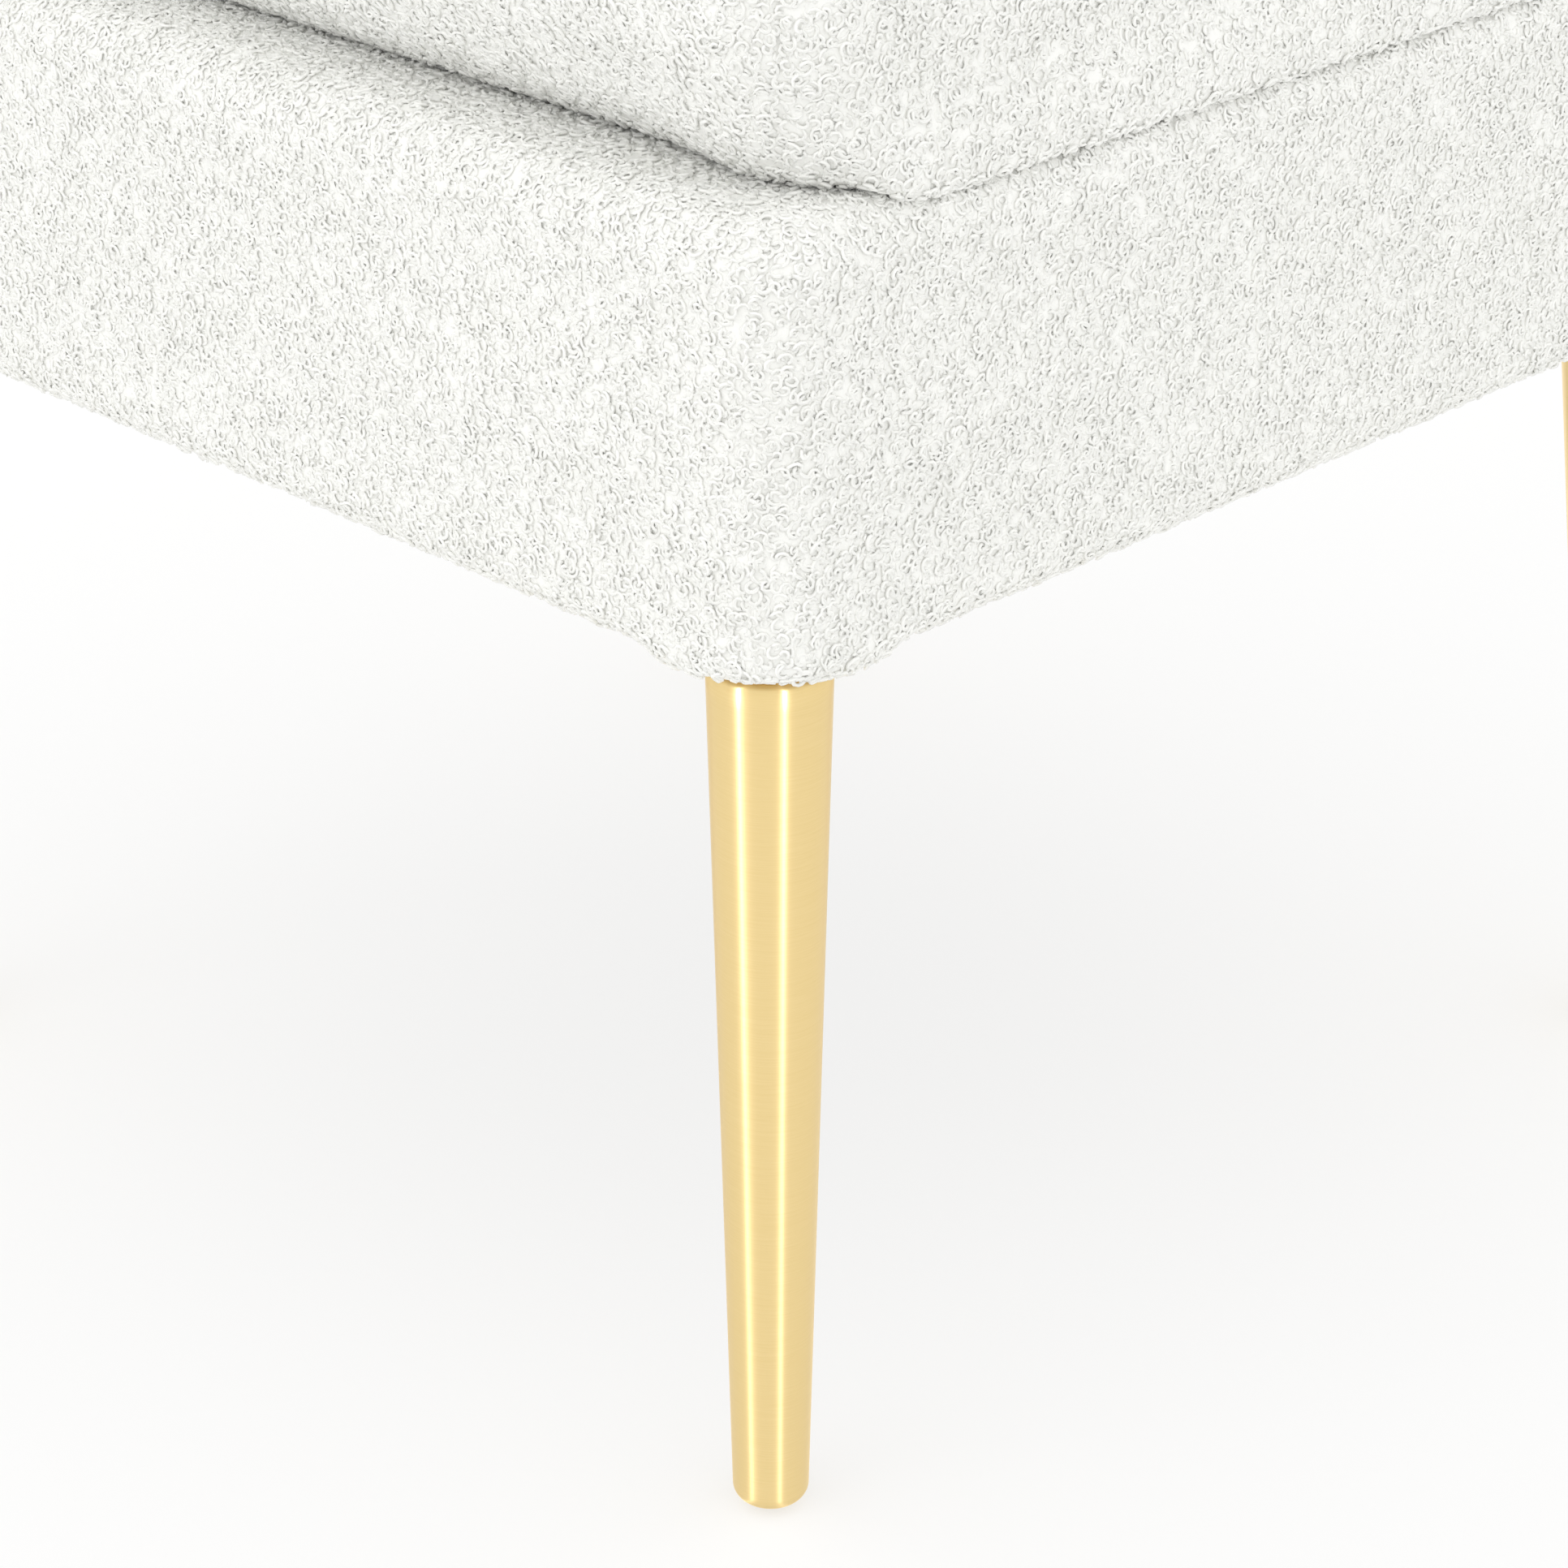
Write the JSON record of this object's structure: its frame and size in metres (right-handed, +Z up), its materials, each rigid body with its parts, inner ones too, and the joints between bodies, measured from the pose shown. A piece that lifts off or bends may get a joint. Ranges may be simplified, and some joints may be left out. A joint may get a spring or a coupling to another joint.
{
  "type": "ottoman with storage",
  "caption": "Square upholstered ottoman with a storage box, a hinged padded lid and splayed tapered metal legs.",
  "frame": {"origin": "on the floor under the middle of the box", "axes": "+Z up, -Y to the front where the lid is lifted, +Y to the hinges"},
  "size_m": [0.4, 0.4, 0.44],
  "materials": {
    "boucle": "off-white curled wool-like loops, matte",
    "plywood": "raw sanded plywood",
    "foam": "cut polyurethane foam, matte",
    "lining_cloth": "off-white woven cloth, matte",
    "dust_cloth": "black non-woven cloth, matte",
    "gold_metal": "pale gold plating, polished with fine brushing",
    "zinc_steel": "zinc plated, satin",
    "nylon": "grey moulded nylon"
  },
  "bodies": {
    "box": {"body_cover": "boucle", "front_panel": "plywood", "rear_panel": "plywood", "left_panel": "plywood", "right_panel": "plywood", "front_pad": "foam", "rear_pad": "foam", "left_pad": "foam", "right_pad": "foam", "bottom_board": "plywood", "dust_cover": "dust_cloth", "storage_lining": "lining_cloth", "rim_bumper_front_left": "nylon", "rim_bumper_front_right": "nylon", "rim_bumper_rear_right": "nylon", "rim_bumper_rear_left": "nylon", "leg_front_left": "gold_metal", "leg_front_right": "gold_metal", "leg_rear_right": "gold_metal", "leg_rear_left": "gold_metal", "leg_stud_front_left": "zinc_steel", "leg_stud_front_right": "zinc_steel", "leg_stud_rear_right": "zinc_steel", "leg_stud_rear_left": "zinc_steel", "leg_insert_front_left": "zinc_steel", "leg_insert_front_right": "zinc_steel", "leg_insert_rear_right": "zinc_steel", "leg_insert_rear_left": "zinc_steel", "leg_glide_front_left": "nylon", "leg_glide_front_right": "nylon", "leg_glide_rear_right": "nylon", "leg_glide_rear_left": "nylon", "corner_block_front_left": "plywood", "corner_block_front_right": "plywood", "corner_block_rear_right": "plywood", "corner_block_rear_left": "plywood", "hinge_left_base": "zinc_steel", "hinge_left_pin": "zinc_steel", "hinge_left_base_screw_1": "zinc_steel", "hinge_left_base_screw_2": "zinc_steel", "hinge_right_base": "zinc_steel", "hinge_right_pin": "zinc_steel", "hinge_right_base_screw_1": "zinc_steel", "hinge_right_base_screw_2": "zinc_steel"},
    "lid": {"lid_cover": "boucle", "lid_foam": "foam", "lid_board": "plywood", "lid_lining": "lining_cloth", "hinge_left_lid": "zinc_steel", "hinge_left_lid_screw_1": "zinc_steel", "hinge_left_lid_screw_2": "zinc_steel", "hinge_right_lid": "zinc_steel", "hinge_right_lid_screw_1": "zinc_steel", "hinge_right_lid_screw_2": "zinc_steel"}
  },
  "joints": [
    {"name": "lid_hinge", "type": "hinge", "parent": "box", "child": "lid", "pos_m": [0, 0.1965, 0.35245], "axis": [-1, 0, 0], "range_deg": [0, 100]}
  ]
}
